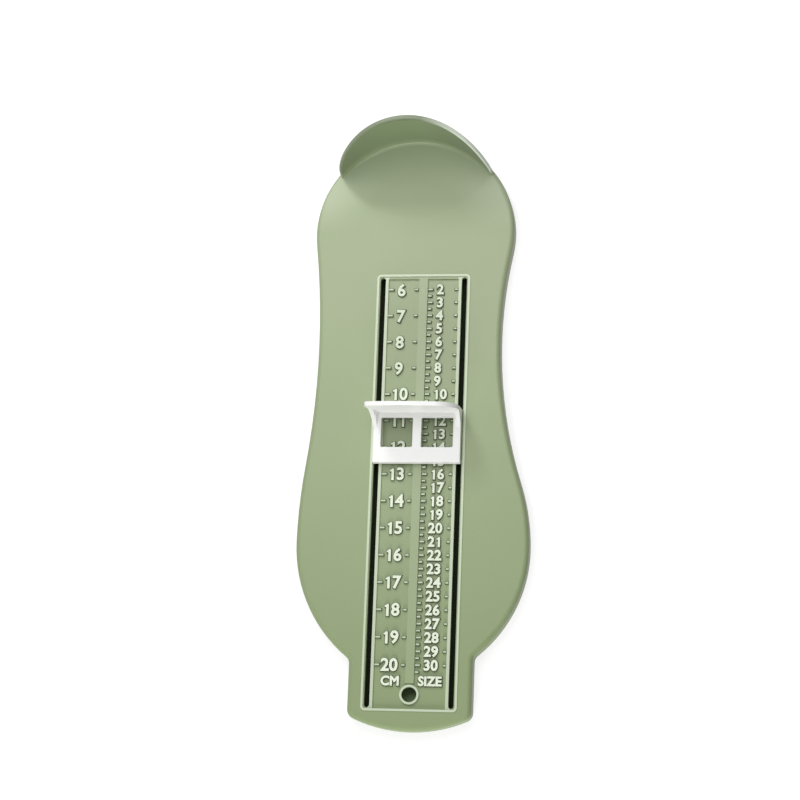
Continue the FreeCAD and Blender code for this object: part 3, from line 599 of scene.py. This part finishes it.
class FOOTGAUGE_OT_length_column(bpy.types.Operator):
    """Raise the centimetre numbers and their marks on the left column"""
    bl_idname = "foot_gauge.length_column"
    bl_label = "Length column"

    def execute(self, context):
        style = context.scene.foot_gauge_scale
        numbers, marks = bmesh.new(), bmesh.new()
        for value in range(style.first_length, style.last_length + 1):
            along = reading(value / CM_PER_METRE)
            across, drop = LENGTH_PLACES[len(str(value))]
            add_number(numbers, value, style.length_height, STRIP_MIDDLE + across, along - drop,
                       style)
            for left, right in LENGTH_MARKS:
                add_bar(marks, (STRIP_MIDDLE + left, along), (STRIP_MIDDLE + right, along),
                        style.stroke, style)
        new_piece("length_numbers", numbers, "plate",
                  relief_paint("Number Cream", style.shade, style))
        new_piece("length_marks", marks, "plate",
                  relief_paint("Mark Cream", style.mark_shade, style))
        return {"FINISHED"}


class FOOTGAUGE_OT_size_column(bpy.types.Operator):
    """Raise the shoe size numbers and their marks on the right column"""
    bl_idname = "foot_gauge.size_column"
    bl_label = "Size column"

    def execute(self, context):
        style = context.scene.foot_gauge_scale
        numbers, marks = bmesh.new(), bmesh.new()
        first, last = (SIZES_PER_CM * value - SIZE_SHIFT
                       for value in (style.first_length, style.last_length))
        for value in range(first, last + 1):
            along = reading((value + SIZE_SHIFT) / (CM_PER_METRE * SIZES_PER_CM))
            across, drop = SIZE_PLACES[len(str(value))]
            add_number(numbers, value, style.size_height, STRIP_MIDDLE + across, along - drop,
                       style)
            for left, right, drop in SIZE_MARKS:
                add_bar(marks, (STRIP_MIDDLE + left, along - drop),
                        (STRIP_MIDDLE + right, along - drop), style.stroke, style)
        new_piece("size_numbers", numbers, "plate",
                  relief_paint("Number Cream", style.shade, style))
        new_piece("size_marks", marks, "plate",
                  relief_paint("Mark Cream", style.mark_shade, style))
        return {"FINISHED"}


class FOOTGAUGE_OT_column_words(bpy.types.Operator):
    """Raise the words that name the two columns"""
    bl_idname = "foot_gauge.column_words"
    bl_label = "Column words"

    def execute(self, context):
        style = context.scene.foot_gauge_scale
        words = bmesh.new()
        for word, across in WORDS:
            add_letters(words, word, style.word_height, STRIP_MIDDLE + across,
                        reading(WORDS_READING), style)
        new_piece("column_words", words, "plate",
                  relief_paint("Number Cream", style.shade, style))
        return {"FINISHED"}


class FOOTGAUGE_OT_studio(bpy.types.Operator):
    """Set the white floor, the soft lamps and the camera"""
    bl_idname = "foot_gauge.studio"
    bl_label = "Studio"

    def execute(self, context):
        style = context.scene.foot_gauge_studio
        self.lay_floor(style)
        self.lay_card(style)
        self.light_world(style)
        for name, size, place, shines in LAMPS:
            self.hang_lamp(f"{name}_lamp", getattr(style, f"{name}_power"), size, Vector(place),
                           shines)
        data = bpy.data.cameras.new("camera")
        data.lens = style.lens
        data.sensor_width = SENSOR_WIDTH
        data.clip_start, data.clip_end = CLIP_RANGE
        camera = bpy.data.objects.new("camera", data)
        camera.location = style.eye
        camera.rotation_euler = style.turn
        context.scene.collection.objects.link(camera)
        context.scene.camera = camera
        context.scene.view_settings.view_transform = "Standard"
        return {"FINISHED"}

    def lay_floor(self, style):
        """Wide pale floor that shows white and keeps the shadow."""
        material, tree, surface = new_material("Floor White")
        surface["Base Color"].default_value = (*style.floor_shade, 1.0)
        surface["Roughness"].default_value = CHALK_ROUGHNESS
        surface["Specular IOR Level"].default_value = 0.0
        surface["Emission Color"].default_value = WHITE
        place = tree.nodes.new("ShaderNodeTexCoord")
        distance = tree.nodes.new("ShaderNodeVectorMath")
        distance.operation = "LENGTH"
        tree.links.new(place.outputs["Object"], distance.inputs[0])
        glow = blend(tree, distance.outputs["Value"], FAR_BLEND, style.floor_glow, style.far_glow)
        tree.links.new(times(tree, glow_for_camera(tree), glow), surface["Emission Strength"])
        shape = bmesh.new()
        bmesh.ops.create_grid(shape, x_segments=1, y_segments=1, size=FLOOR_REACH)
        floor = new_object("floor", shape, material)

    def lay_card(self, style):
        """Dark card under the strip, painted shade that takes the floor's glow out of the slots
        and the hole.
        """
        material, tree, surface = new_material("Card")
        under_hole = near(tree, object_axes(tree)["X"], STRIP_MIDDLE, HOLE_REACH)
        tree.links.new(tint(tree, style.card_shade, style.hole_shade, under_hole),
                       surface["Base Color"])
        surface["Roughness"].default_value = CHALK_ROUGHNESS
        low, high = PLATE_LOW.y + CARD_TOE_GAP, HEEL_END - CARD_HEEL_GAP
        place = Matrix.Translation((STRIP_MIDDLE, (low + high) / 2, CARD_LIFT))
        size = Matrix.Diagonal((CARD_WIDTH, high - low, 1.0, 1.0))
        shape = bmesh.new()
        bmesh.ops.create_grid(shape, x_segments=1, y_segments=1, size=0.5, matrix=place @ size)
        card = new_object("floor_card", shape, material)

    def light_world(self, style):
        """White beyond the floor, and an even daylight."""
        world = bpy.data.worlds.new("world")
        world.use_nodes = True
        bpy.context.scene.world = world
        tree = world.node_tree
        sky = tree.nodes["Background"]
        sky.inputs["Color"].default_value = WHITE
        tree.links.new(blend(tree, glow_for_camera(tree), (0.0, 1.0), style.daylight, 1.0),
                       sky.inputs["Strength"])

    def hang_lamp(self, name, power, size, place, shines):
        """Square soft lamp that faces the object, and is mirrored in gloss where it shines."""
        data = bpy.data.lights.new(name, "AREA")
        data.energy = power
        data.shape = "SQUARE"
        data.size = size
        lamp = bpy.data.objects.new(name, data)
        lamp.location = place
        lamp.rotation_euler = (LAMP_AIM - place).to_track_quat("-Z", "Y").to_euler()
        lamp.visible_glossy = shines
        bpy.context.scene.collection.objects.link(lamp)


class FOOTGAUGE_PT_panel(bpy.types.Panel):
    """Buttons for each group of pieces"""
    bl_idname = "FOOTGAUGE_PT_panel"
    bl_label = "Foot Measuring Device"
    bl_space_type = "VIEW_3D"
    bl_region_type = "UI"
    bl_category = "Foot Gauge"

    def draw(self, context):
        for operator in OPERATORS:
            self.layout.operator(operator.bl_idname)


OPERATORS = (
    FOOTGAUGE_OT_plate_finish,
    FOOTGAUGE_OT_slider_finish,
    FOOTGAUGE_OT_length_column,
    FOOTGAUGE_OT_size_column,
    FOOTGAUGE_OT_column_words,
    FOOTGAUGE_OT_studio,
)
STYLES = {
    "foot_gauge_plate": FootGaugePlateFinish,
    "foot_gauge_slider": FootGaugeSliderFinish,
    "foot_gauge_scale": FootGaugeScale,
    "foot_gauge_studio": FootGaugeStudio,
}


def register():
    """Add the settings, the operators and the panel."""
    for name, style in STYLES.items():
        bpy.utils.register_class(style)
        setattr(bpy.types.Scene, name, PointerProperty(type=style))
    for item in (*OPERATORS, FOOTGAUGE_PT_panel):
        bpy.utils.register_class(item)


def unregister():
    """Take the settings, the operators and the panel away."""
    for item in (FOOTGAUGE_PT_panel, *reversed(OPERATORS)):
        bpy.utils.unregister_class(item)
    for name, style in STYLES.items():
        delattr(bpy.types.Scene, name)
        bpy.utils.unregister_class(style)


def main():
    """Register the add-on, then make every piece."""
    register()
    for operator in OPERATORS:
        group, name = operator.bl_idname.split(".")
        getattr(getattr(bpy.ops, group), name)()


if __name__ == "__main__":
    main()
